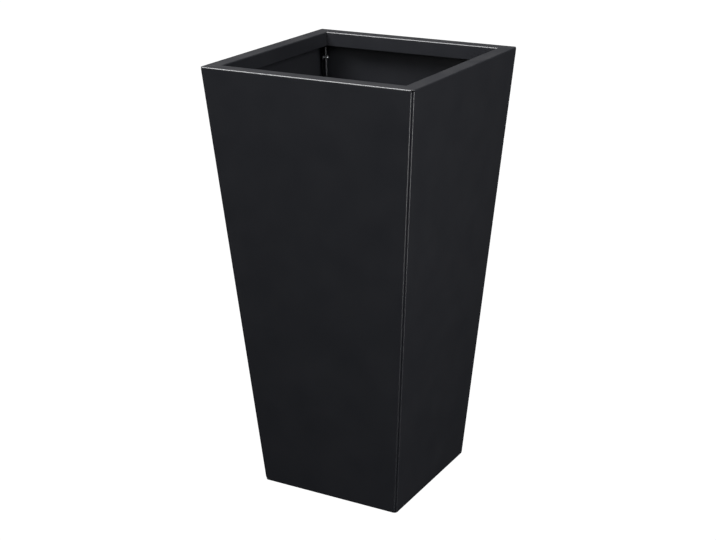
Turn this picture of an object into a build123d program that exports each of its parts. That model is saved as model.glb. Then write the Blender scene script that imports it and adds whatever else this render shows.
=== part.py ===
# Tapered square planter of folded sheet steel, in millimetres.
# Four equal side panels are folded from flat sheet and bolted together at the corners,
# and a drained base plate is bolted down inside them.
# Origin: centre of the footprint, on the ground. +Z is up and the front panel faces -Y.
from build123d import *
from math import cos, atan, sqrt
import os

os.makedirs("parts", exist_ok=True)

# Overall size, outside the folded sheet
height = 700.0
top_width = 360.0
bottom_width = 247.0

# Folded sheet of the side panels
sheet = 1.2
inner_fold_radius = 1.0
seam_gap = 0.2  # powder coat between two flanges that are bolted face to face
lip_width = 24.5  # flat rim, from the outer edge to the mouth
return_depth = 23.0  # the rim is folded down into the mouth by this much
return_end_gap = 0.6
flange_reach = 22.5  # from the sharp corner to the flange's free edge, along the diagonal
foot_width = 20.0  # folded in under the base plate
fold_relief = 0.8  # notch between the end of a side fold and the rim or foot fold

# Corner screws, washers and nuts
screws_per_corner = 4
top_screw_drop = 46.0  # from the rim down to the highest screw
bottom_screw_rise = 50.0  # from the ground up to the lowest screw
screw_edge_distance = 9.5  # from the flange's free edge
thread_diameter = 4.0
hole_clearance = 0.5
screw_length = 8.0
head_diameter = 8.0
head_height = 2.6
head_rounding = 1.8
recess_span = 4.4
recess_width = 1.0
recess_depth = 1.4
thread_chamfer = 0.4
washer_diameter = 9.0
washer_thickness = 0.8
washer_clearance = 0.3
nut_across_flats = 7.0
nut_height = 3.2
nut_chamfer = 0.5
thread_clearance = 0.1

# Base plate and the studs that hold it down
base_sheet = 1.5
base_edge_clearance = 0.8
base_corner_clearance = 1.5
drain_hole_diameter = 12.0
drain_hole_spacing = 110.0
stud_length = 8.0
stud_collar_diameter = 5.5
stud_collar_height = 0.8
stud_collar_clearance = 0.7
stud_spacing = 120.0
stud_edge_distance = 9.0  # from the foot's free edge

# What follows from them
top_half = top_width / 2
bottom_half = bottom_width / 2
mouth_half = top_half - lip_width
fold_radius = inner_fold_radius + sheet
wall_in_plan = sheet / cos(atan((top_half - bottom_half) / height))
corner_setback = (1 + sqrt(2)) * fold_radius + seam_gap / sqrt(2)
side_fold_top = height - fold_radius - fold_relief
side_fold_bottom = fold_radius + fold_relief
half_stack = seam_gap / 2 + wall_in_plan
grip = 2 * half_stack
across_seam = Vector(1, 1, 0).normalized()
along_seam = Vector(1, -1, 0).normalized()
quarter_turns = {"front": 0, "right": 90, "rear": 180, "left": 270}
corner_turns = {"front_right": 0, "rear_right": 90, "rear_left": 180, "front_left": 270}


def half_width(level):
    """Half of the planter's outside width at a height above the ground."""
    return bottom_half + (top_half - bottom_half) * level / height


def seam_point(level, from_edge):
    """Point in the front right corner's diagonal plane, measured from the flange's free edge."""
    reach = half_width(level) * sqrt(2) - flange_reach + from_edge
    return along_seam * reach + Vector(0, 0, level)


screw_step = (height - top_screw_drop - bottom_screw_rise) / (screws_per_corner - 1)
screw_points = [
    seam_point(bottom_screw_rise + screw_step * index, screw_edge_distance)
    for index in range(screws_per_corner)
]
head_seats = [Plane(p + across_seam * half_stack, (0, 0, 1), across_seam) for p in screw_points]
nut_seats = [Plane(p - across_seam * half_stack, (0, 0, 1), -across_seam) for p in screw_points]


# Section through the front panel: stub of the return, rim, face and foot
with BuildSketch(Plane.YZ.offset(-top_half)) as edge_profile:
    with BuildLine():
        FilletPolyline(
            (-mouth_half, side_fold_top),
            (-mouth_half, height),
            (-top_half, height),
            (-bottom_half, 0),
            (foot_width - bottom_half, 0),
            radius=fold_radius,
        )
        offset(amount=sheet, side=Side.LEFT)
    make_face()


def mitred_edge(level, keep, outer_half):
    """The rim or the foot of the front panel, with mitred ends whose tips are cut off square."""
    with BuildPart() as edge:
        extrude(edge_profile.sketch, amount=top_width, dir=(1, 0, 0))
        split(bisect_by=Plane.XY.offset(level), keep=keep)
        for side in (-1, 1):
            mitre = Vector(side, 1, 0).normalized()
            tip = Vector(side, -1, 0).normalized()
            tip_reach = (2 * outer_half - corner_setback) / sqrt(2)
            split(bisect_by=Plane(mitre * (-seam_gap / 2), z_dir=mitre), keep=Keep.BOTTOM)
            split(bisect_by=Plane(tip * tip_reach, z_dir=tip), keep=Keep.BOTTOM)
    return edge.part


rim = mitred_edge(side_fold_top, Keep.TOP, top_half)
foot = mitred_edge(side_fold_bottom, Keep.BOTTOM, bottom_half)

# One side panel, as the front one: face and side flanges, then rim, foot, return and screw holes
with BuildPart() as side_panel:
    for level in (side_fold_bottom, side_fold_top):
        corner_x = half_width(level) - seam_gap / sqrt(2)
        edge_x = (half_width(level) * sqrt(2) - flange_reach - seam_gap / 2) / sqrt(2)
        edge_y = edge_x + seam_gap / sqrt(2)
        with BuildSketch(Plane.XY.offset(level)):
            with BuildLine():
                FilletPolyline(
                    (-edge_x, -edge_y),
                    (-corner_x, -half_width(level)),
                    (corner_x, -half_width(level)),
                    (edge_x, -edge_y),
                    radius=fold_radius,
                )
                offset(amount=wall_in_plan, side=Side.LEFT)
            make_face()
    loft(ruled=True)
    add(rim)
    add(foot)
    with Locations((0, -mouth_half, height - return_depth)):
        Box(
            2 * (mouth_half - return_end_gap),
            sheet,
            side_fold_top - height + return_depth,
            align=(Align.CENTER, Align.MAX, Align.MIN),
        )
    for corner_turn in (0, -90):
        with Locations(*[Rotation(0, 0, corner_turn) * seat.location for seat in head_seats]):
            Hole((thread_diameter + hole_clearance) / 2, grip)

for position, turn in quarter_turns.items():
    with BuildPart() as panel:
        add(side_panel.part, rotation=(0, 0, turn))
    panel.part.label = position + "_panel"
    export_step(panel.part, "parts/" + position + "_panel.step")

# Pan head screw, with its head's seat at z 0 and its thread below
with BuildPart() as screw:
    with BuildSketch():
        Circle(head_diameter / 2)
    extrude(amount=head_height)
    fillet(screw.edges().group_by(Axis.Z)[-1], head_rounding)
    for length, width in ((recess_span, recess_width), (recess_width, recess_span)):
        with Locations((0, 0, head_height)):
            Box(length, width, 2 * recess_depth, mode=Mode.SUBTRACT)
    with BuildSketch():
        Circle(thread_diameter / 2)
    extrude(amount=-screw_length)
    chamfer(screw.edges().group_by(Axis.Z)[0], thread_chamfer)

# Flat washer, with its underside at z 0
with BuildPart() as washer:
    with BuildSketch():
        Circle(washer_diameter / 2)
        Circle((thread_diameter + washer_clearance) / 2, mode=Mode.SUBTRACT)
    extrude(amount=washer_thickness)

# Hexagon nut, lying on the washer, with its corners turned off at both ends
with BuildPart() as nut:
    with BuildSketch(Plane.XY.offset(washer_thickness)):
        RegularPolygon(nut_across_flats / 2, 6, major_radius=False)
        Circle((thread_diameter + thread_clearance) / 2, mode=Mode.SUBTRACT)
    extrude(amount=nut_height)
    with BuildSketch(Plane.XZ) as nut_outline:
        with Locations((0, washer_thickness)):
            Rectangle(nut_across_flats / sqrt(3), nut_height, align=(Align.MIN, Align.MIN))
        chamfer(nut_outline.vertices().group_by(Axis.X)[-1], nut_chamfer)
    revolve(axis=Axis.Z, mode=Mode.INTERSECT)

# Fasteners of the front right corner, then of each corner
with BuildPart() as corner_screws:
    with Locations(*head_seats):
        add(screw.part)
with BuildPart() as corner_washers:
    with Locations(*nut_seats):
        add(washer.part)
with BuildPart() as corner_nuts:
    with Locations(*nut_seats):
        add(nut.part)

corner_fasteners = {"screws": corner_screws, "washers": corner_washers, "nuts": corner_nuts}
for kind, fasteners in corner_fasteners.items():
    for position, turn in corner_turns.items():
        with BuildPart() as group:
            add(fasteners.part, rotation=(0, 0, turn))
        group.part.label = position + "_" + kind
        export_step(group.part, "parts/" + position + "_" + kind + ".step")

# Base plate, lying on the feet of the panels, with its corners cut clear of the seams
base_half = bottom_half - fold_radius - base_edge_clearance
base_corner_reach = bottom_half * sqrt(2) - flange_reach - base_corner_clearance
base_corner_cut = 2 * base_half - base_corner_reach * sqrt(2)
stud_line = bottom_half - foot_width + stud_edge_distance
stud_places = [
    Vector(stud_line, shift, 0).rotate(Axis.Z, turn)
    for turn in quarter_turns.values()
    for shift in (-stud_spacing / 2, stud_spacing / 2)
]
with BuildPart() as base_plate:
    with BuildSketch(Plane.XY.offset(sheet)) as base_outline:
        Rectangle(2 * base_half, 2 * base_half)
        chamfer(base_outline.vertices(), base_corner_cut)
        Circle(drain_hole_diameter / 2, mode=Mode.SUBTRACT)
        with GridLocations(drain_hole_spacing, drain_hole_spacing, 2, 2):
            Circle(drain_hole_diameter / 2, mode=Mode.SUBTRACT)
        with Locations(*stud_places):
            Circle((stud_collar_diameter + stud_collar_clearance) / 2, mode=Mode.SUBTRACT)
    extrude(amount=base_sheet)
base_plate.part.label = "base_plate"
export_step(base_plate.part, "parts/base_plate.step")

# Welded studs on the feet, and the washers and nuts that hold the base plate down on them
with BuildPart() as base_studs:
    with BuildSketch(Plane.XY.offset(sheet)):
        with Locations(*stud_places):
            Circle(stud_collar_diameter / 2)
    extrude(amount=stud_collar_height)
    with BuildSketch(Plane.XY.offset(sheet)):
        with Locations(*stud_places):
            Circle(thread_diameter / 2)
    extrude(amount=stud_length)
base_studs.part.label = "base_studs"
export_step(base_studs.part, "parts/base_studs.step")

base_seats = [place + Vector(0, 0, sheet + base_sheet) for place in stud_places]
with BuildPart() as base_washers:
    with Locations(*base_seats):
        add(washer.part)
base_washers.part.label = "base_washers"
export_step(base_washers.part, "parts/base_washers.step")

with BuildPart() as base_nuts:
    with Locations(*base_seats):
        add(nut.part)
base_nuts.part.label = "base_nuts"
export_step(base_nuts.part, "parts/base_nuts.step")
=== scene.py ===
"""Looks of a tall tapered planter of black powder-coated sheet steel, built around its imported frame.

Lengths are in metres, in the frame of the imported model: the origin is the centre of the footprint on
the ground, +Z is up, and the front panel faces -Y.
"""
import logging
import math
from collections.abc import Iterable, Sequence
from dataclasses import dataclass, field
from enum import Enum
from typing import Protocol

import bmesh
import bpy
from bmesh.types import BMEdge, BMesh, BMFace, BMVert
from bpy.types import Material, Node, NodeSocket, NodeTree, Object
from mathutils import Matrix, Vector


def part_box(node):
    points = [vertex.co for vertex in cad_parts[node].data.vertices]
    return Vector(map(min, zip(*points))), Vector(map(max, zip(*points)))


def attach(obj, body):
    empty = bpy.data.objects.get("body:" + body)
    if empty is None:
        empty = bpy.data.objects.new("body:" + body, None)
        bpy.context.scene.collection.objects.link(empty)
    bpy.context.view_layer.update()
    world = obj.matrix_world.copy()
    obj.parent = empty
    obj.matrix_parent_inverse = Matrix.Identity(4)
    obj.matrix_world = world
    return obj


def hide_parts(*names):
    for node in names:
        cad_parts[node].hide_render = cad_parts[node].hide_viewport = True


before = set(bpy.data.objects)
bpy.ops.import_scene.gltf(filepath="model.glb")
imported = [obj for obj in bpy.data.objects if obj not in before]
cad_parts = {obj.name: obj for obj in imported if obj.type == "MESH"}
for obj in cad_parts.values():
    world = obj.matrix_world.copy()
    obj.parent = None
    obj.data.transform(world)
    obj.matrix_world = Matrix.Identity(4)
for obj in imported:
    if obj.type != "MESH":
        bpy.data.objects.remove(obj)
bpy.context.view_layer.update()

BODY = "root"
WELD = 1e-6
SHARP_ANGLE = math.radians(50)
FLAT_ANGLE = math.radians(1)
TURN_BETWEEN_FASTENERS = math.radians(137.5)
ALONG_SEAM = Vector((1, -1, 0)).normalized()
ACROSS_SEAM = Vector((1, 1, 0)).normalized()

log = logging.getLogger("planter")


class Side(Enum):
    """The four sides of the planter, each with its turn about Z from the front, in degrees."""

    FRONT = 0
    RIGHT = 90
    REAR = 180
    LEFT = 270


class Corner(Enum):
    """The four seams of the planter, each with its turn about Z from the front right, in degrees."""

    FRONT_RIGHT = 0
    REAR_RIGHT = 90
    REAR_LEFT = 180
    FRONT_LEFT = 270


class Slot(Enum):
    """The record's material slots."""

    PANEL_COAT = "panel_coat"
    BASE_COAT = "base_coat"
    ZINC = "zinc_fasteners"


def turned(place: Side | Corner) -> Matrix:
    """Returns the turn about Z that carries the front, or the front right corner, to a place."""
    return Matrix.Rotation(math.radians(place.value), 4, "Z")


def follow(start: BMVert) -> list[BMVert]:
    """Walks along an open wire.

    Args:
        start: The vertex at one of its ends.

    Returns:
        Its vertices, in order.
    """
    wire = [start]
    while True:
        beyond = [edge.other_vert(wire[-1]) for edge in wire[-1].link_edges]
        beyond = [vert for vert in beyond if vert not in wire[-2:]]
        if not beyond:
            return wire
        wire.append(beyond[0])


def folded_line(bm: BMesh, points: Sequence[Vector], radii: Sequence[float], steps: int) -> list[BMVert]:
    """Draws a wire through points, with each corner between two runs rounded to a radius.

    Args:
        bm: The mesh that the wire is drawn in.
        points: The sharp corners of the wire, with its two ends.
        radii: Radius of each corner in between, 0 where it stays sharp.
        steps: Number of edges in each rounded corner.

    Returns:
        The wire's vertices, in order.
    """
    start = tip = bmesh.ops.create_vert(bm, co=points[0])["vert"][0]

    def run_to(point: Vector) -> BMVert:
        """Extends the wire in a straight run.

        Args:
            point: Where the run ends.

        Returns:
            The wire's new tip.
        """
        end = bmesh.ops.extrude_vert_indiv(bm, verts=[tip])["verts"][0]
        end.co = point
        return end

    for before, corner, after, radius in zip(points, points[1:], points[2:], radii):
        heading = (corner - before).normalized()
        leaving = (after - corner).normalized()
        turn = heading.angle(leaving)
        tip = run_to(corner - heading * radius * math.tan(turn / 2))
        if radius > 0:
            axis = heading.cross(leaving).normalized()
            centre = tip.co + axis.cross(heading) * radius
            arc = bmesh.ops.spin(bm, geom=[tip], cent=centre, axis=axis, angle=turn, steps=steps)
            tip = next(item for item in arc["geom_last"] if isinstance(item, BMVert))
    run_to(points[-1])
    return follow(start)


def edges_of(wire: Sequence[BMVert]) -> list[BMEdge]:
    """Returns the edges between the neighbours of a wire."""
    return [edge for a, b in zip(wire, wire[1:]) for edge in a.link_edges if edge.other_vert(a) == b]


def trim(
    bm: BMesh, faces: Iterable[BMFace], point: Vector, outward: Vector, clear: bool = True
) -> list[BMFace]:
    """Cuts faces along a plane and clears what lies on its outward side.

    Args:
        bm: The mesh.
        faces: The faces to cut.
        point: A point on the plane.
        outward: The plane's normal, towards the side that goes.
        clear: Whether the outward side goes. Else the faces are only divided.

    Returns:
        The faces that are left of those given.
    """
    faces = list(faces)
    geometry = list(dict.fromkeys(item for f in faces for item in (f, *f.edges, *f.verts)))
    kept = bmesh.ops.bisect_plane(
        bm, geom=geometry, dist=WELD, plane_co=point, plane_no=outward, clear_outer=clear
    )["geom"]
    return [item for item in kept if isinstance(item, BMFace)]


def lathe(
    outline: Sequence[tuple[float, float]], roundings: Sequence[float], steps: int, round_steps: int = 3
) -> BMesh:
    """Turns an outline about Z.

    Args:
        outline: Radius and height of each corner. It starts and ends on the axis, or at one point.
        roundings: Radius of each corner in between, 0 where it stays sharp.
        steps: Number of sides.
        round_steps: Number of edges in each rounded corner.

    Returns:
        A closed mesh with its faces outwards.
    """
    bm = bmesh.new()
    corners = [Vector((radius, 0, level)) for radius, level in outline]
    wire = folded_line(bm, corners, roundings, round_steps)
    bmesh.ops.spin(
        bm,
        geom=wire + edges_of(wire),
        cent=(0, 0, 0),
        axis=(0, 0, 1),
        angle=math.tau,
        steps=steps,
        use_merge=True,
    )
    bmesh.ops.remove_doubles(bm, verts=bm.verts[:], dist=WELD)
    bmesh.ops.recalc_face_normals(bm, faces=bm.faces[:])
    return bm


def joined(parts: Iterable[tuple[BMesh, Matrix]]) -> BMesh:
    """Joins meshes in one, each in its place.

    Args:
        parts: Each mesh with its place. A mesh may come more than once. All stay as they are.

    Returns:
        The joined mesh.
    """
    whole = bmesh.new()
    for part, place in parts:
        moved = part.copy()
        bmesh.ops.transform(moved, matrix=place, verts=moved.verts[:])
        single = bpy.data.meshes.new("part")
        moved.to_mesh(single)
        moved.free()
        whole.from_mesh(single)
        bpy.data.meshes.remove(single)
    return whole


def round_cut_edges(bm: BMesh, width: float, segments: int = 2) -> None:
    """Rounds every sharp edge, as a thick coat does on a sheared edge.

    Args:
        bm: The mesh.
        width: Distance from the sharp edge to the start of the rounding.
        segments: Number of faces across the rounding.
    """
    sharp = [e for e in bm.edges if e.is_manifold and e.calc_face_angle() > SHARP_ANGLE]
    bmesh.ops.bevel(
        bm,
        geom=sharp,
        offset=width,
        offset_type="OFFSET",
        segments=segments,
        profile=0.5,
        affect="EDGES",
        clamp_overlap=False,
        material=-1,
    )


def put_in_order(bm: BMesh) -> None:
    """Sorts the points and the faces by where they lie, so that each run gives the same mesh.

    Args:
        bm: The mesh.
    """
    for items, place in ((bm.verts, lambda vert: vert.co), (bm.faces, BMFace.calc_center_median)):
        for index, item in enumerate(sorted(items, key=lambda item: [round(x, 7) for x in place(item)])):
            item.index = index
        items.sort()


def make_object(name: str, bm: BMesh, material: Material) -> Object:
    """Turns a finished bmesh into an object at the origin, with shading that follows its large faces.

    Args:
        name: The object's name.
        bm: The mesh, in place. It is freed.
        material: The material of the whole object.

    Returns:
        The new object.
    """
    put_in_order(bm)
    for face in bm.faces:
        face.smooth = True
    mesh = bpy.data.meshes.new(name)
    bm.to_mesh(mesh)
    bm.free()
    mesh.materials.append(material)
    piece = bpy.data.objects.new(name, mesh)
    bpy.context.scene.collection.objects.link(piece)
    weighted = piece.modifiers.new("shading", "WEIGHTED_NORMAL")
    weighted.mode = "FACE_AREA"
    weighted.keep_sharp = True
    return piece


def stand_for(piece: Object, node: str) -> None:
    """Puts a finished piece on the frame in the place of a node, and logs how well it fits there.

    Args:
        piece: The new piece.
        node: The node that it stands for.
    """
    node_low, node_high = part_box(node)
    corners = [vert.co for vert in piece.data.vertices]
    low = Vector(min(co[axis] for co in corners) for axis in range(3))
    high = Vector(max(co[axis] for co in corners) for axis in range(3))
    gap = max(abs(a - b) for a, b in zip((*low, *high), (*node_low, *node_high)))
    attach(piece, BODY)
    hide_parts(node)
    faces = len(piece.data.polygons)
    log.info("%s stands for %s: %d faces, box within %.2f mm", piece.name, node, faces, gap * 1000)


@dataclass(frozen=True)
class Taper:
    """The outside of the planter, which widens in a straight line from the ground to the rim."""

    height: float = 0.700
    top_width: float = 0.360
    bottom_width: float = 0.247

    def half_width(self, level: float) -> float:
        """Returns half of the outside width at a height above the ground."""
        return (self.bottom_width + (self.top_width - self.bottom_width) * level / self.height) / 2


class Nodes:
    """A node tree that is filled in by short calls, each of which links or sets a node's inputs."""

    def __init__(self, tree: NodeTree) -> None:
        """Starts on an empty or a cleared tree."""
        self.tree = tree
        tree.nodes.clear()

    def add(self, kind: str, inputs: dict, **settings) -> Node:
        """Adds a node.

        Args:
            kind: The node's type, without the ShaderNode that all start with.
            inputs: Value or source socket of each input, by name or by number.
            **settings: The node's own properties.

        Returns:
            The new node.
        """
        node = self.tree.nodes.new("ShaderNode" + kind)
        for key, value in settings.items():
            setattr(node, key, value)
        for key, value in inputs.items():
            if isinstance(value, NodeSocket):
                self.tree.links.new(value, node.inputs[key])
            else:
                node.inputs[key].default_value = value
        return node

    def math(self, operation: str, *values: float | NodeSocket) -> NodeSocket:
        """Adds a math node and returns its result."""
        return self.add("Math", dict(enumerate(values)), operation=operation).outputs[0]

    def spread(self, value: NodeSocket, source: tuple, target: tuple) -> NodeSocket:
        """Maps a range smoothly onto another, held at its ends, and returns the result.

        Args:
            value: The socket to read.
            source: The range that is read.
            target: The range that it becomes.

        Returns:
            The mapped value's socket.
        """
        ends = {"From Min": source[0], "From Max": source[1], "To Min": target[0], "To Max": target[1]}
        return self.add("MapRange", {"Value": value, **ends}, interpolation_type="SMOOTHSTEP").outputs[0]

    def mix(self, share: NodeSocket, first: tuple | NodeSocket, second: tuple) -> NodeSocket:
        """Mixes two colours.

        Args:
            share: Share of the second colour.
            first: The first colour, as four numbers or a socket.
            second: The second colour, as four numbers.

        Returns:
            The mixed colour's socket.
        """
        return self.add("Mix", {0: share, 6: first, 7: second}, data_type="RGBA").outputs[2]

    def noise(self, place: NodeSocket, size: NodeSocket, detail: float) -> NodeSocket:
        """Adds a noise pattern.

        Args:
            place: The coordinates.
            size: Breadth of the pattern's largest features.
            detail: Number of finer layers on top.

        Returns:
            The socket of a value from 0 to 1.
        """
        scale = self.math("DIVIDE", 1.0, size)
        return self.add("TexNoise", {"Vector": place, "Scale": scale, "Detail": detail}).outputs[0]


class EffectGroup(Protocol):
    """A node group that several materials share."""

    name: str
    inputs: tuple
    output: str

    def fill(self, nodes: Nodes, entry: Node) -> NodeSocket:
        """Fills the group and returns the socket of its result."""


@dataclass(frozen=True)
class Grain:
    """Surface height of a sprayed or plated coat: a soft peel with a finer grain on it."""

    name: str = "coat_grain"
    inputs: tuple = ("Vector", "Peel Size", "Grain Size", "Grain Share")
    output: str = "Height"
    detail: float = 2.0

    def fill(self, nodes: Nodes, entry: Node) -> NodeSocket:
        """Mixes the two patterns.

        Args:
            nodes: The group's tree.
            entry: The group's input node.

        Returns:
            The socket of the height, from 0 to 1.
        """
        peel = nodes.noise(entry.outputs["Vector"], entry.outputs["Peel Size"], self.detail)
        grain = nodes.noise(entry.outputs["Vector"], entry.outputs["Grain Size"], self.detail)
        patterns = {0: entry.outputs["Grain Share"], 2: peel, 3: grain}
        return nodes.add("Mix", patterns, data_type="FLOAT").outputs[0]


@dataclass(frozen=True)
class Mottle:
    """Slow unevenness of a coat over a large sheet."""

    name: str = "sheet_mottle"
    inputs: tuple = ("Vector", "Cloud Size", "Contrast")
    output: str = "Value"
    detail: float = 3.0
    middle: float = 0.5

    def fill(self, nodes: Nodes, entry: Node) -> NodeSocket:
        """Centres a cloudy pattern on zero and scales it.

        Args:
            nodes: The group's tree.
            entry: The group's input node.

        Returns:
            The socket of a value about zero.
        """
        cloud = nodes.noise(entry.outputs["Vector"], entry.outputs["Cloud Size"], self.detail)
        return nodes.math("MULTIPLY", nodes.math("SUBTRACT", cloud, self.middle), entry.outputs["Contrast"])


@dataclass(frozen=True)
class EdgeWear:
    """Where hands and tools rub: a broken line along the sharp edges."""

    name: str = "edge_wear"
    inputs: tuple = ("Vector", "Width", "Patch Size")
    output: str = "Mask"
    samples: int = 6
    least_turn: float = 0.02
    full_turn: float = 0.25
    detail: float = 3.0
    patch_range: tuple = (0.38, 0.62)
    patch_cover: tuple = (0.25, 1.0)

    def fill(self, nodes: Nodes, entry: Node) -> NodeSocket:
        """Compares the surface normal with one that is rounded over the width of the wear.

        Args:
            nodes: The group's tree.
            entry: The group's input node.

        Returns:
            The socket of a mask from 0 to 1.
        """
        rounded = nodes.add("Bevel", {"Radius": entry.outputs["Width"]}, samples=self.samples).outputs[0]
        normal = nodes.add("NewGeometry", {}).outputs["Normal"]
        agree = nodes.add("VectorMath", {0: rounded, 1: normal}, operation="DOT_PRODUCT").outputs["Value"]
        turn = nodes.math("SUBTRACT", 1.0, agree)
        edge = nodes.spread(turn, (self.least_turn, self.full_turn), (0.0, 1.0))
        patches = nodes.noise(entry.outputs["Vector"], entry.outputs["Patch Size"], self.detail)
        return nodes.math("MULTIPLY", edge, nodes.spread(patches, self.patch_range, self.patch_cover))


@dataclass(frozen=True)
class Dust:
    """Fine dust that settles on what faces up."""

    name: str = "settled_dust"
    inputs: tuple = ("Vector", "Cloud Size")
    output: str = "Mask"
    least_rise: float = 0.55
    full_rise: float = 0.98
    detail: float = 4.0
    cloud_range: tuple = (0.3, 0.7)
    cloud_cover: tuple = (0.35, 1.0)

    def fill(self, nodes: Nodes, entry: Node) -> NodeSocket:
        """Keeps a cloudy pattern on the surfaces that face up.

        Args:
            nodes: The group's tree.
            entry: The group's input node.

        Returns:
            The socket of a mask from 0 to 1.
        """
        normal = nodes.add("NewGeometry", {}).outputs["Normal"]
        rise = nodes.add("SeparateXYZ", {0: normal}).outputs["Z"]
        level = nodes.spread(rise, (self.least_rise, self.full_rise), (0.0, 1.0))
        cloud = nodes.noise(entry.outputs["Vector"], entry.outputs["Cloud Size"], self.detail)
        return nodes.math("MULTIPLY", level, nodes.spread(cloud, self.cloud_range, self.cloud_cover))


def effect(nodes: Nodes, kind: EffectGroup, place: NodeSocket, **values: float) -> NodeSocket:
    """Places a shared effect in a material, and builds its group the first time.

    Args:
        nodes: The material's tree.
        kind: The effect.
        place: The coordinates that it reads.
        **values: The other inputs, by name in lower case, with _ for each space.

    Returns:
        The socket of the effect's result.
    """
    group = bpy.data.node_groups.get(kind.name)
    if group is None:
        group = bpy.data.node_groups.new(kind.name, "ShaderNodeTree")
        for name in kind.inputs:
            shape = "NodeSocketVector" if name == "Vector" else "NodeSocketFloat"
            group.interface.new_socket(name=name, in_out="INPUT", socket_type=shape)
        group.interface.new_socket(name=kind.output, in_out="OUTPUT", socket_type="NodeSocketFloat")
        inside = Nodes(group)
        entry = group.nodes.new("NodeGroupInput")
        leave = group.nodes.new("NodeGroupOutput")
        group.links.new(kind.fill(inside, entry), leave.inputs[0])
    inputs = {name.replace("_", " ").title(): value for name, value in values.items()}
    return nodes.add("Group", {"Vector": place, **inputs}, node_tree=group).outputs[kind.output]


def new_material(name: str) -> tuple[Material, Nodes, NodeSocket]:
    """Starts a material.

    Args:
        name: The material's name.

    Returns:
        The material, its emptied tree and the socket of the object's coordinates.
    """
    material = bpy.data.materials.new(name)
    material.use_nodes = True
    nodes = Nodes(material.node_tree)
    return material, nodes, nodes.add("TexCoord", {}).outputs["Object"]


@dataclass(frozen=True)
class Finish:
    """A thin coat on metal: slow clouds, a fine grain, rubbed edges, and dust on what faces up."""

    name: str
    slot: Slot
    colour: tuple
    cloud_colour: tuple
    rubbed_colour: tuple
    cloud_size: float
    wear_width: float
    wear_patch: float
    roughness: float
    roughness_mottle: float
    peel_size: float
    grain_size: float
    grain_share: float
    relief: float
    cloud_contrast: float = 1.0
    rubbed_gloss: float = 0.0
    metallic: float = 0.0
    ior: float = 1.5
    dust_cover: float = 0.0
    dust_colour: tuple = (0.23, 0.22, 0.20, 1.0)
    dust_roughness: float = 0.25
    dust_size: float = 0.03

    def material(self) -> Material:
        """Builds the finish.

        Returns:
            The new material.
        """
        material, nodes, place = new_material(self.name)
        cloud = effect(nodes, Mottle(), place, cloud_size=self.cloud_size, contrast=self.cloud_contrast)
        wear = effect(nodes, EdgeWear(), place, width=self.wear_width, patch_size=self.wear_patch)
        grain = {"peel_size": self.peel_size, "grain_size": self.grain_size, "grain_share": self.grain_share}
        height = effect(nodes, Grain(), place, **grain)
        clouded = nodes.math("ADD", cloud, Mottle.middle)
        colour = nodes.mix(wear, nodes.mix(clouded, self.colour, self.cloud_colour), self.rubbed_colour)
        rough = nodes.math("MULTIPLY_ADD", cloud, self.roughness_mottle, self.roughness)
        if self.dust_cover > 0:
            dust = effect(nodes, Dust(), place, cloud_size=self.dust_size)
            dust = nodes.math("MULTIPLY", dust, self.dust_cover)
            colour = nodes.mix(dust, colour, self.dust_colour)
            rough = nodes.math("MULTIPLY_ADD", dust, self.dust_roughness, rough)
        rough = nodes.math("MULTIPLY_ADD", wear, self.rubbed_gloss, rough)
        bump = nodes.add("Bump", {"Height": height, "Distance": self.relief}).outputs[0]
        inputs = {"Base Color": colour, "Roughness": rough, "Normal": bump}
        shader = nodes.add("BsdfPrincipled", {**inputs, "Metallic": self.metallic, "IOR": self.ior})
        nodes.add("OutputMaterial", {"Surface": shader.outputs[0]})
        return material


@dataclass(frozen=True)
class PowderCoat(Finish):
    """Black satin powder coat on sheet steel."""

    name: str = "panel_powder_coat"
    slot: Slot = Slot.PANEL_COAT
    colour: tuple = (0.0105, 0.0112, 0.0138, 1.0)
    cloud_colour: tuple = (0.0150, 0.0156, 0.0182, 1.0)
    rubbed_colour: tuple = (0.030, 0.030, 0.032, 1.0)
    cloud_size: float = 0.055
    wear_width: float = 0.0009
    wear_patch: float = 0.012
    roughness: float = 0.34
    roughness_mottle: float = 0.10
    rubbed_gloss: float = -0.10
    dust_cover: float = 0.035
    peel_size: float = 0.0021
    grain_size: float = 0.00045
    grain_share: float = 0.35
    relief: float = 0.000012


@dataclass(frozen=True)
class ZincPlate(Finish):
    """Bright zinc plate on small fasteners."""

    name: str = "bright_zinc_plate"
    slot: Slot = Slot.ZINC
    colour: tuple = (0.66, 0.68, 0.71, 1.0)
    cloud_colour: tuple = (0.42, 0.43, 0.44, 1.0)
    rubbed_colour: tuple = (0.82, 0.82, 0.82, 1.0)
    cloud_size: float = 0.0022
    cloud_contrast: float = 1.6
    wear_width: float = 0.0002
    wear_patch: float = 0.002
    roughness: float = 0.30
    roughness_mottle: float = 0.25
    metallic: float = 1.0
    peel_size: float = 0.0006
    grain_size: float = 0.00015
    grain_share: float = 0.5
    relief: float = 0.000006


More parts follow.
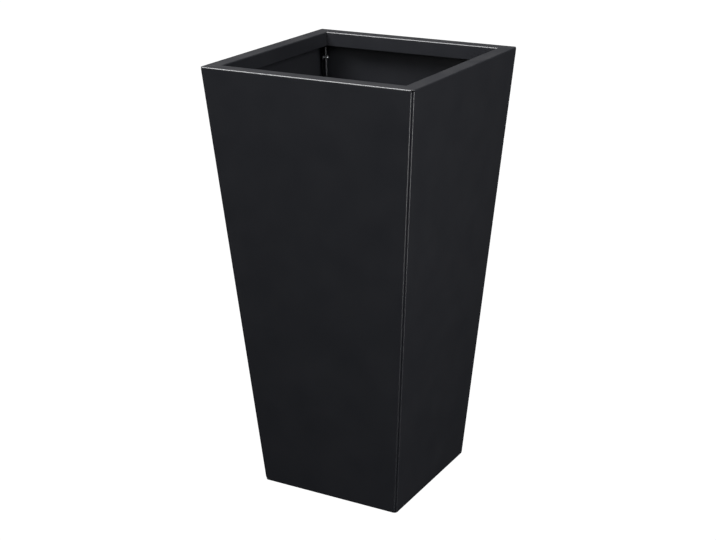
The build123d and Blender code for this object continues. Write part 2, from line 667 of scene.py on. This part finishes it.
@dataclass
class FoldedPanel:
    """One side of the planter: face, lip, return, foot and two side flanges, folded from one sheet.

    The front panel is built once, as the right half of the sheet's outer surface, then mirrored,
    given its thickness and turned to each side. The coat nearly fills the gap between two panels.
    """

    taper: Taper
    finish: Finish
    sheet: float = 0.0012
    inner_fold_radius: float = 0.0010
    fold_steps: int = 12
    seam_gap: float = 0.00002
    lip_width: float = 0.0245
    return_depth: float = 0.0230
    return_end_gap: float = 0.0006
    flange_reach: float = 0.0225
    foot_width: float = 0.0200
    fold_relief: float = 0.0008
    joint_weld: float = 0.000005
    cut_rounding: float = 0.00022
    hole_diameter: float = 0.0045
    hole_margin: float = 0.0018
    hole_side_cuts: int = 3

    @property
    def fold_radius(self) -> float:
        """Outer radius of the folds."""
        return self.inner_fold_radius + self.sheet

    @property
    def mouth_half(self) -> float:
        """Half of the mouth's width."""
        return self.taper.top_width / 2 - self.lip_width

    @property
    def corner_setback(self) -> float:
        """Distance from the sharp corner to where a side fold starts, along the face."""
        return (1 + math.sqrt(2)) * self.fold_radius + self.seam_gap / math.sqrt(2)

    @property
    def side_fold_top(self) -> float:
        """Height at which the side folds end below the rim."""
        return self.taper.height - self.fold_radius - self.fold_relief

    @property
    def side_fold_bottom(self) -> float:
        """Height at which the side folds start above the foot."""
        return self.fold_radius + self.fold_relief

    def fold_start(self, level: float) -> Vector:
        """Returns where the face meets the side fold at a height."""
        half = self.taper.half_width(level)
        return Vector((half - self.corner_setback, -half, level))

    def flange_point(self, level: float, from_edge: float) -> Vector:
        """Returns a point on the flange's outer surface.

        Args:
            level: Height above the ground.
            from_edge: Distance from the flange's free edge.

        Returns:
            The point.
        """
        reach = self.taper.half_width(level) * math.sqrt(2) - self.flange_reach + from_edge
        return ALONG_SEAM * reach - ACROSS_SEAM * (self.seam_gap / 2) + Vector((0, 0, level))

    def face_and_flange(self, bm: BMesh) -> None:
        """Draws the plan section at the foot and raises it to the rim, wider as it goes.

        Args:
            bm: The mesh.
        """
        low, high = self.side_fold_bottom, self.side_fold_top
        half = self.taper.half_width(low)
        corner = Vector((half - self.seam_gap / math.sqrt(2), -half, low))
        section = [Vector((0, -half, low)), corner, self.flange_point(low, 0)]
        wire = folded_line(bm, section, [self.fold_radius], self.fold_steps)
        raised = bmesh.ops.extrude_edge_only(bm, edges=edges_of(wire))["geom"]
        upper = [item for item in raised if isinstance(item, BMVert)]
        widening = self.taper.half_width(high) - half
        bmesh.ops.translate(bm, verts=upper, vec=(0, -widening, high - low))
        bmesh.ops.translate(bm, verts=[v for v in upper if v.co.x > WELD], vec=(widening, 0, 0))

    def folded_edge(self, bm: BMesh, profile: Sequence[Vector], outer_half: float) -> list:
        """Draws the section through a rim or a foot and pulls it out to its mitred end.

        Args:
            bm: The mesh.
            profile: The section's sharp corners, from the face inwards.
            outer_half: Half of the outside width at this edge.

        Returns:
            The strip's faces.
        """
        wire = folded_line(bm, profile, [self.fold_radius] * (len(profile) - 2), self.fold_steps)
        pulled = bmesh.ops.extrude_edge_only(bm, edges=edges_of(wire))["geom"]
        far = [item for item in pulled if isinstance(item, BMVert)]
        bmesh.ops.translate(bm, verts=far, vec=(outer_half, 0, 0))
        strip = [item for item in pulled if isinstance(item, BMFace)]
        tip_reach = (2 * outer_half - self.corner_setback) / math.sqrt(2)
        strip = trim(bm, strip, -ACROSS_SEAM * (self.seam_gap / 2), ACROSS_SEAM)
        strip = trim(bm, strip, ALONG_SEAM * tip_reach, ALONG_SEAM)
        joint = self.fold_start(profile[0].z)
        meets = [v for f in strip for v in f.verts if abs(v.co.z - joint.z) < WELD and v.co.x > WELD]
        for vert in meets:
            if abs(vert.co.y - joint.y) < self.sheet:
                vert.co = joint
        return strip

    def rim(self, bm: BMesh) -> None:
        """Adds the top fold, the flat lip and the return that goes down into the mouth.

        Args:
            bm: The mesh.
        """
        top, half = self.taper.height, self.taper.top_width / 2
        level = self.side_fold_top
        profile = [
            Vector((0, -self.taper.half_width(level), level)),
            Vector((0, -half, top)),
            Vector((0, -self.mouth_half, top)),
            Vector((0, -self.mouth_half, top - self.return_depth)),
        ]

        def hangs(face: BMFace) -> bool:
            """Tells whether a face is the flat of the return.

            Args:
                face: A face of the rim.

            Returns:
                True for the return, False for the rest of the rim.
            """
            centre = face.calc_center_median()
            low = centre.z < top - self.return_depth / 2 + self.fold_radius
            return low and abs(face.normal.z) < WELD and centre.y > -self.mouth_half - WELD

        hanging = [face for face in self.folded_edge(bm, profile, half) if hangs(face)]
        trim(bm, hanging, Vector((self.mouth_half - self.return_end_gap, 0, 0)), Vector((1, 0, 0)))

    def foot(self, bm: BMesh) -> None:
        """Adds the bottom fold and the foot that is folded in under the base plate.

        Args:
            bm: The mesh.
        """
        half, level = self.taper.bottom_width / 2, self.side_fold_bottom
        profile = [
            Vector((0, -self.taper.half_width(level), level)),
            Vector((0, -half, 0)),
            Vector((0, self.foot_width - half, 0)),
        ]
        self.folded_edge(bm, profile, half)

    def screw_hole(self, bm: BMesh, centre: Vector) -> None:
        """Punches a round hole through the flat of the flange.

        Args:
            bm: The mesh.
            centre: The hole's centre on the flange's outer surface.
        """
        rising = (self.flange_point(self.taper.height, 0) - self.flange_point(0, 0)).normalized()
        sideways = rising.cross(ACROSS_SEAM)
        reach = self.hole_diameter / 2 + self.hole_margin
        depth = centre.dot(ACROSS_SEAM)
        for direction in (Vector((0, 0, 1)), sideways):
            for sign in (-1, 1):
                flange = [f for f in bm.faces if abs(f.calc_center_median().dot(ACROSS_SEAM) - depth) < WELD]
                trim(bm, flange, centre + direction * sign * reach, direction, clear=False)
        patch = min(bm.faces, key=lambda f: (f.calc_center_median() - centre).length)
        bmesh.ops.subdivide_edges(bm, edges=patch.edges[:], cuts=self.hole_side_cuts)
        patch = min(bm.faces, key=lambda f: (f.calc_center_median() - centre).length)
        bmesh.ops.inset_individual(bm, faces=[patch], thickness=self.hole_margin / 2)
        for vert in patch.verts:
            vert.co = centre + (vert.co - centre).normalized() * self.hole_diameter / 2
        bmesh.ops.delete(bm, geom=[patch], context="FACES_ONLY")

    def shell(self, screw_centres: Sequence[Vector]) -> BMesh:
        """Builds the front panel.

        Args:
            screw_centres: Centres of the screw holes in the front right corner's diagonal plane.

        Returns:
            The finished mesh.
        """
        bm = bmesh.new()
        self.face_and_flange(bm)
        self.rim(bm)
        self.foot(bm)
        bmesh.ops.remove_doubles(bm, verts=bm.verts[:], dist=self.joint_weld)
        for centre in screw_centres:
            self.screw_hole(bm, centre - ACROSS_SEAM * (self.seam_gap / 2))
        everything = [*bm.verts, *bm.edges, *bm.faces]
        bmesh.ops.mirror(bm, geom=everything, matrix=Matrix.Identity(4), merge_dist=WELD, axis="X")
        bmesh.ops.recalc_face_normals(bm, faces=bm.faces[:])
        bm.normal_update()
        if max(bm.faces, key=lambda f: f.calc_area()).normal.y > 0:
            bmesh.ops.reverse_faces(bm, faces=bm.faces[:])
        bmesh.ops.solidify(bm, geom=bm.faces[:], thickness=self.sheet)
        round_cut_edges(bm, self.cut_rounding)
        return bm

    def build(self, screw_centres: Sequence[Vector]) -> None:
        """Builds the four panels and puts each in its node's place.

        Args:
            screw_centres: Centres of the screw holes in the front right corner's diagonal plane.
        """
        pattern = self.shell(screw_centres)
        material = self.finish.material()
        for side in Side:
            bm = pattern.copy()
            bmesh.ops.transform(bm, matrix=turned(side), verts=bm.verts[:])
            name = side.name.lower()
            piece = make_object(name + "_folded_sheet", bm, material)
            stand_for(piece, name + "_panel")
        pattern.free()


@dataclass
class Fastener:
    """Sizes of the small screws, washers and nuts, and the way that each is made about Z."""

    finish: Finish
    thread_diameter: float = 0.0040
    thread_pitch: float = 0.0007
    thread_depth: float = 0.00043
    thread_steps: int = 20
    thread_chamfer: float = 0.0004
    turn_weld: float = 0.00001
    crest_start: float = 0.40
    crest_end: float = 0.62
    screw_length: float = 0.0080
    head_diameter: float = 0.0080
    head_height: float = 0.0026
    head_rounding: float = 0.0018
    head_steps: int = 32
    dome_steps: int = 6
    dome_least_rise: float = 0.1
    seat_rounding: float = 0.00012
    recess_span: float = 0.0044
    recess_width: float = 0.0010
    recess_depth: float = 0.0014
    recess_rise: float = 0.35
    tip_narrowing: float = 0.55
    arm_narrowing: float = 0.90
    washer_diameter: float = 0.0090
    washer_thickness: float = 0.0008
    washer_clearance: float = 0.0003
    washer_rounding: float = 0.00018
    nut_across_flats: float = 0.0070
    nut_height: float = 0.0032
    nut_sides: int = 6
    nut_steps: int = 48
    nut_face_share: float = 0.95
    nut_slope: float = math.radians(30)
    nut_mouth: float = 0.00035
    thread_clearance: float = 0.0001

    def thread(self, length: float) -> BMesh:
        """Cuts a helical thread that stands on Z 0 and runs out in a cone.

        Args:
            length: The threaded length.

        Returns:
            The mesh, closed at both ends.
        """
        bm = bmesh.new()
        crest = self.thread_diameter / 2
        root = crest - self.thread_depth
        turns = math.ceil(length / self.thread_pitch) + 2
        flanks = ((crest, self.crest_start), (crest, self.crest_end), (root, 1.0))
        outline = [Vector((root, 0, -self.thread_pitch))] + [
            Vector((radius, 0, (turn - 1 + share) * self.thread_pitch))
            for turn in range(turns)
            for radius, share in flanks
        ]
        wire = folded_line(bm, outline, [0.0] * (len(outline) - 2), 1)
        bmesh.ops.spin(
            bm,
            geom=wire + edges_of(wire),
            cent=(0, 0, 0),
            axis=(0, 0, 1),
            dvec=(0, 0, self.thread_pitch / self.thread_steps),
            angle=math.tau,
            steps=self.thread_steps,
        )
        bmesh.ops.remove_doubles(bm, verts=bm.verts[:], dist=self.turn_weld)
        trim(bm, bm.faces, Vector((0, 0, 0)), Vector((0, 0, -1)))
        trim(bm, bm.faces, Vector((0, 0, length)), Vector((0, 0, 1)))
        for vert in bm.verts:
            limit = crest - self.thread_chamfer + length - vert.co.z
            reach = vert.co.xy.length
            if reach > limit:
                vert.co.xy *= limit / reach
        bmesh.ops.holes_fill(bm, edges=[edge for edge in bm.edges if edge.is_boundary])
        bmesh.ops.recalc_face_normals(bm, faces=bm.faces[:])
        return bm

    def dome(self, bm: BMesh) -> list[BMFace]:
        """Returns the faces of the top of a head."""
        return [face for face in bm.faces if face.normal.z > self.dome_least_rise]

    def pan_head(self) -> BMesh:
        """Turns a domed head on Z 0 and sinks the tapered cross recess into it.

        Returns:
            The mesh.
        """
        rim, top = self.head_diameter / 2, self.head_height
        outline = [(0.0, top), (rim, top), (rim, 0.0), (0.0, 0.0)]
        bm = lathe(outline, [self.head_rounding, self.seat_rounding], self.head_steps, self.dome_steps)
        half_span, half_width = self.recess_span / 2, self.recess_width / 2
        for axis in (Vector((1, 0, 0)), Vector((0, 1, 0))):
            for reach in (-half_span, -half_width, half_width, half_span):
                trim(bm, self.dome(bm), axis * reach, axis, clear=False)
        cross = []
        for face in self.dome(bm):
            across, along = sorted(map(abs, face.calc_center_median().xy))
            if across < half_width and along < half_span:
                cross.append(face)
        sunk = bmesh.ops.extrude_face_region(bm, geom=cross)["geom"]
        bmesh.ops.delete(bm, geom=cross, context="FACES")
        for vert in (item for item in sunk if isinstance(item, BMVert)):
            vert.co.z = top - self.recess_depth * (1 - self.recess_rise * vert.co.xy.length / half_span)
            for axis in range(2):
                in_arm = abs(vert.co[axis]) < half_width + WELD
                vert.co[axis] *= self.arm_narrowing if in_arm else self.tip_narrowing
        return bm

    def screw(self) -> BMesh:
        """Builds a pan head screw, with its head's seat at Z 0 and its thread below."""
        thread = self.thread(self.screw_length)
        return joined([(self.pan_head(), Matrix()), (thread, Matrix.Rotation(math.pi, 4, "X"))])

    def washer(self) -> BMesh:
        """Builds a flat washer, with its underside at Z 0.

        Returns:
            The mesh.
        """
        bore = (self.thread_diameter + self.washer_clearance) / 2
        rim, thick = self.washer_diameter / 2, self.washer_thickness
        middle = (bore, thick / 2)
        outline = [middle, (bore, thick), (rim, thick), (rim, 0.0), (bore, 0.0), middle]
        return lathe(outline, [self.washer_rounding] * 4, self.head_steps)

    def nut(self) -> BMesh:
        """Builds a hexagon nut on its washer: turned first, then brought in to its six flats.

        Returns:
            The mesh.
        """
        bore = (self.thread_diameter + self.thread_clearance) / 2
        flat = self.nut_across_flats / 2
        corner = flat / math.cos(math.pi / self.nut_sides)
        face = flat * self.nut_face_share
        height, mouth = self.nut_height, self.nut_mouth
        drop = (corner - face) * math.tan(self.nut_slope)
        upper = [(bore, height / 2), (bore, height - mouth), (bore + mouth, height), (face, height)]
        lower = [(radius, height - level) for radius, level in reversed(upper)]
        outline = [*upper, (corner, height - drop), (corner, drop), *lower]
        bm = lathe(outline, [0.0] * (len(outline) - 2), self.nut_steps)
        sector = math.tau / self.nut_sides
        for vert in bm.verts:
            reach = vert.co.xy.length
            if reach > corner - WELD:
                angle = math.atan2(vert.co.y, vert.co.x)
                limit = flat / math.cos((angle + sector / 2) % sector - sector / 2)
                slope = (limit - face) * math.tan(self.nut_slope)
                vert.co.xy *= limit / reach
                vert.co.z = height - slope if vert.co.z > height / 2 else slope
        bmesh.ops.translate(bm, verts=bm.verts[:], vec=(0, 0, self.washer_thickness))
        return bm

    def stud(self, length: float, bead_diameter: float, bead_height: float) -> BMesh:
        """Builds a welded stud that stands at Z 0, with the low bead of its weld.

        Args:
            length: Height of the stud.
            bead_diameter: Outer diameter of the bead.
            bead_height: Height of the bead.

        Returns:
            The mesh.
        """
        foot, crest, top = bead_diameter / 2, self.thread_diameter / 2, bead_height
        outline = [(0.0, 0.0), (foot, 0.0), (foot, top / 2), (crest, top), (0.0, top)]
        bead = lathe(outline, [0.0, self.seat_rounding, self.seat_rounding], self.head_steps)
        return joined([(self.thread(length), Matrix()), (bead, Matrix())])


def on_seats(pattern: BMesh, seats: Sequence[Matrix]) -> BMesh:
    """Puts a copy of a fastener on each seat, each turned further than the last, as hands leave them."""
    turns = (Matrix.Rotation(TURN_BETWEEN_FASTENERS * index, 4, "Z") for index in range(len(seats)))
    return joined((pattern, seat @ turn) for seat, turn in zip(seats, turns))


@dataclass
class CornerJoints:
    """The screws, washers and nuts that bolt the flanges of each seam together."""

    panel: FoldedPanel
    fastener: Fastener
    per_corner: int = 4
    top_drop: float = 0.046
    bottom_rise: float = 0.050
    edge_distance: float = 0.0095

    def centres(self) -> list[Vector]:
        """Spaces the screws evenly up a seam.

        Returns:
            Their centres in the front right corner's diagonal plane, from the lowest up.
        """
        step = (self.panel.taper.height - self.top_drop - self.bottom_rise) / (self.per_corner - 1)
        levels = [self.bottom_rise + step * index for index in range(self.per_corner)]
        lift = ACROSS_SEAM * (self.panel.seam_gap / 2)
        return [self.panel.flange_point(level, self.edge_distance) + lift for level in levels]

    def seats(self, side: int, corner: Corner) -> list[Matrix]:
        """Returns a seat for each fastener on one side of a corner's flanges.

        Args:
            side: 1 for the screws' side, -1 for the nuts' side.
            corner: The corner.

        Returns:
            The seats, with Z away from the flange.
        """
        taper = self.panel.taper
        slope = math.atan2(taper.top_width - taper.bottom_width, 2 * taper.height)
        half_stack = self.panel.seam_gap / 2 + self.panel.sheet / math.cos(slope)
        outward, up = ACROSS_SEAM * side, Vector((0, 0, 1))
        axes = Matrix((up, outward.cross(up), outward)).transposed().to_4x4()
        turn = turned(corner)
        return [turn @ Matrix.Translation(c + outward * half_stack) @ axes for c in self.centres()]

    def build(self) -> None:
        """Builds the three groups of fasteners at each corner."""
        material = self.fastener.finish.material()
        kinds = {
            "screws": (self.fastener.screw, 1, "pan_screws"),
            "washers": (self.fastener.washer, -1, "flat_washers"),
            "nuts": (self.fastener.nut, -1, "hexagon_nuts"),
        }
        for kind, (make, side, title) in kinds.items():
            for corner in Corner:
                place = corner.name.lower()
                mesh = on_seats(make(), self.seats(side, corner))
                piece = make_object(place + "_" + title, mesh, material)
                stand_for(piece, place + "_" + kind)


@dataclass
class BaseAssembly:
    """The drained base plate, with the welded studs, washers and nuts that hold it down."""

    panel: FoldedPanel
    fastener: Fastener
    plate_finish: Finish
    plate_sheet: float = 0.0015
    plate_rounding: float = 0.00025
    stud_length: float = 0.0080
    collar_diameter: float = 0.0055
    collar_height: float = 0.0008
    stud_spacing: float = 0.120
    stud_edge_distance: float = 0.009

    def stud_places(self) -> list[Vector]:
        """Places the studs, two on each side's folded foot.

        Returns:
            The point on the foot where each stands.
        """
        line = self.panel.taper.bottom_width / 2 - self.panel.foot_width + self.stud_edge_distance
        return [
            turned(side) @ Vector((line, shift, self.panel.sheet))
            for side in Side
            for shift in (-self.stud_spacing / 2, self.stud_spacing / 2)
        ]

    def plate(self) -> BMesh:
        """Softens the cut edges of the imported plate, hole edges included.

        Returns:
            The finished mesh.
        """
        bm = bmesh.new()
        bm.from_mesh(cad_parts["base_plate"].data)
        bmesh.ops.remove_doubles(bm, verts=bm.verts[:], dist=WELD)
        bmesh.ops.dissolve_limit(
            bm, angle_limit=FLAT_ANGLE, verts=bm.verts[:], edges=bm.edges[:], delimit={"NORMAL"}
        )
        round_cut_edges(bm, self.plate_rounding)
        return bm

    def build(self) -> None:
        """Builds the plate, the studs and what is screwed on them."""
        plate = make_object("drained_base_plate", self.plate(), self.plate_finish.material())
        stand_for(plate, "base_plate")
        zinc = bpy.data.materials.get(self.fastener.finish.name) or self.fastener.finish.material()
        feet = [Matrix.Translation(place) for place in self.stud_places()]
        seats = [Matrix.Translation((0, 0, self.plate_sheet)) @ foot for foot in feet]
        stud = self.fastener.stud(self.stud_length, self.collar_diameter, self.collar_height)
        groups = {
            "base_studs": ("welded_studs", stud, feet),
            "base_washers": ("base_flat_washers", self.fastener.washer(), seats),
            "base_nuts": ("base_hexagon_nuts", self.fastener.nut(), seats),
        }
        for node, (name, pattern, places) in groups.items():
            piece = make_object(name, on_seats(pattern, places), zinc)
            stand_for(piece, node)


@dataclass(frozen=True)
class SoftBox:
    """A square studio light with no visible body."""

    name: str
    direction: tuple
    distance: float
    size: float
    power: float

    def place(self, aim: Vector) -> None:
        """Hangs the light.

        Args:
            aim: The point that it faces.
        """
        data = bpy.data.lights.new(self.name, "AREA")
        data.shape = "SQUARE"
        data.size = self.size
        data.energy = self.power
        lamp = bpy.data.objects.new(self.name, data)
        bpy.context.scene.collection.objects.link(lamp)
        away = Vector(self.direction).normalized()
        lamp.location = aim + away * self.distance
        lamp.rotation_euler = away.to_track_quat("Z", "Y").to_euler()
        lamp.visible_camera = False


@dataclass(frozen=True)
class PhotoCamera:
    """The camera of the photograph, worked out from the planter's outline in it."""

    azimuth: float = 29.412
    elevation: float = 19.504
    roll: float = -0.481
    distance: float = 2.3482
    aim: tuple = (-0.00985, -0.00305, 0.35109)
    focal_pixels: float = 1451.9
    picture_width: float = 716.0
    sensor_width: float = 36.0
    clip: tuple = (0.05, 200.0)

    def place(self) -> None:
        """Makes the camera and looks through it."""
        data = bpy.data.cameras.new("photo_camera")
        data.sensor_width = self.sensor_width
        data.lens = self.focal_pixels * self.sensor_width / self.picture_width
        data.clip_start, data.clip_end = self.clip
        camera = bpy.data.objects.new("photo_camera", data)
        bpy.context.scene.collection.objects.link(camera)
        turn, lift = math.radians(self.azimuth), math.radians(self.elevation)
        away = Vector((math.sin(turn) * math.cos(lift), -math.cos(turn) * math.cos(lift), math.sin(lift)))
        level = Vector((0, 0, 1)).cross(away).normalized()
        axes = Matrix((level, away.cross(level), away)).transposed().to_4x4()
        tilt = Matrix.Rotation(math.radians(self.roll), 4, "Z")
        camera.matrix_world = Matrix.Translation(Vector(self.aim) + away * self.distance) @ axes @ tilt
        bpy.context.scene.camera = camera


@dataclass
class Studio:
    """A white floor, soft lights and a plain surround."""

    taper: Taper
    camera: PhotoCamera = field(default_factory=PhotoCamera)
    floor_size: float = 60.0
    backdrop: tuple = (1.0, 1.0, 1.0, 1.0)
    backdrop_glow: float = 1.06
    surround_glow: float = 0.035
    dark_below: tuple = (-0.62, -0.28)
    lights: tuple = (
        SoftBox("overhead_softbox", (-0.47, -0.32, 0.82), 2.2, 1.3, 118.0),
        SoftBox("ceiling_softbox", (0.0, 0.0, 1.0), 2.2, 1.0, 45.0),
        SoftBox("right_softbox", (1.0, -0.225, 0.43), 2.2, 1.1, 39.0),
        SoftBox("left_softbox", (-1.0, -0.2, 0.3), 2.4, 1.2, 9.0),
        SoftBox("front_softbox", (0.0, -1.0, 0.3), 2.4, 1.2, 9.0),
        SoftBox("front_high_softbox", (0.2, -0.8, 0.6), 2.4, 1.2, 12.0),
        SoftBox("low_front_right_softbox", (0.85, -0.5, -0.35), 2.4, 0.8, 26.0),
        SoftBox("low_rear_softbox", (-0.35, 1.0, -0.25), 2.4, 1.0, 26.0),
    )

    def lay_floor(self) -> None:
        """Lays the floor: as white as the surround from above, and clear from below."""
        bm = bmesh.new()
        bmesh.ops.create_grid(bm, x_segments=1, y_segments=1, size=self.floor_size / 2)
        mesh = bpy.data.meshes.new("studio_floor")
        bm.to_mesh(mesh)
        bm.free()
        material, nodes, _ = new_material("pale_floor")
        white = nodes.add("Emission", {"Color": self.backdrop, "Strength": self.backdrop_glow})
        clear = nodes.add("BsdfTransparent", {})
        below = nodes.add("NewGeometry", {}).outputs["Backfacing"]
        both = nodes.add("MixShader", {0: below, 1: white.outputs[0], 2: clear.outputs[0]})
        nodes.add("OutputMaterial", {"Surface": both.outputs[0]})
        mesh.materials.append(material)
        floor = bpy.data.objects.new("studio_floor", mesh)
        bpy.context.scene.collection.objects.link(floor)
        for rays in ("visible_diffuse", "visible_glossy", "visible_transmission", "visible_shadow"):
            setattr(floor, rays, False)

    def surround(self) -> None:
        """Sets the surround: white behind the planter, and a dim grey room in what it reflects."""
        world = bpy.data.worlds.new("studio_room")
        world.use_nodes = True
        nodes = Nodes(world.node_tree)
        height = nodes.add("SeparateXYZ", {0: nodes.add("TexCoord", {}).outputs["Generated"]}).outputs["Z"]
        glow = nodes.spread(height, self.dark_below, (0.0, self.surround_glow))
        room = nodes.add("Background", {"Color": self.backdrop, "Strength": glow})
        white = nodes.add("Background", {"Color": self.backdrop, "Strength": self.backdrop_glow})
        seen = nodes.add("LightPath", {}).outputs["Is Camera Ray"]
        both = nodes.add("MixShader", {0: seen, 1: room.outputs[0], 2: white.outputs[0]})
        nodes.add("OutputWorld", {"Surface": both.outputs[0]})
        bpy.context.scene.world = world

    def build(self) -> None:
        """Sets the whole studio up."""
        self.lay_floor()
        self.surround()
        for light in self.lights:
            light.place(Vector((0, 0, self.taper.height)))
        self.camera.place()
        bpy.context.scene.view_settings.view_transform = "Standard"


def main() -> None:
    """Builds the planter's sub-assemblies and the studio round it."""
    logging.basicConfig(level=logging.INFO, format="%(message)s")
    taper = Taper()
    panel = FoldedPanel(taper, PowderCoat())
    fastener = Fastener(ZincPlate())
    joints = CornerJoints(panel, fastener)
    base_coat = PowderCoat(name="base_powder_coat", slot=Slot.BASE_COAT, dust_cover=0.10)
    panel.build(joints.centres())
    joints.build()
    BaseAssembly(panel, fastener, base_coat).build()
    Studio(taper).build()


if __name__ == "__main__":
    main()
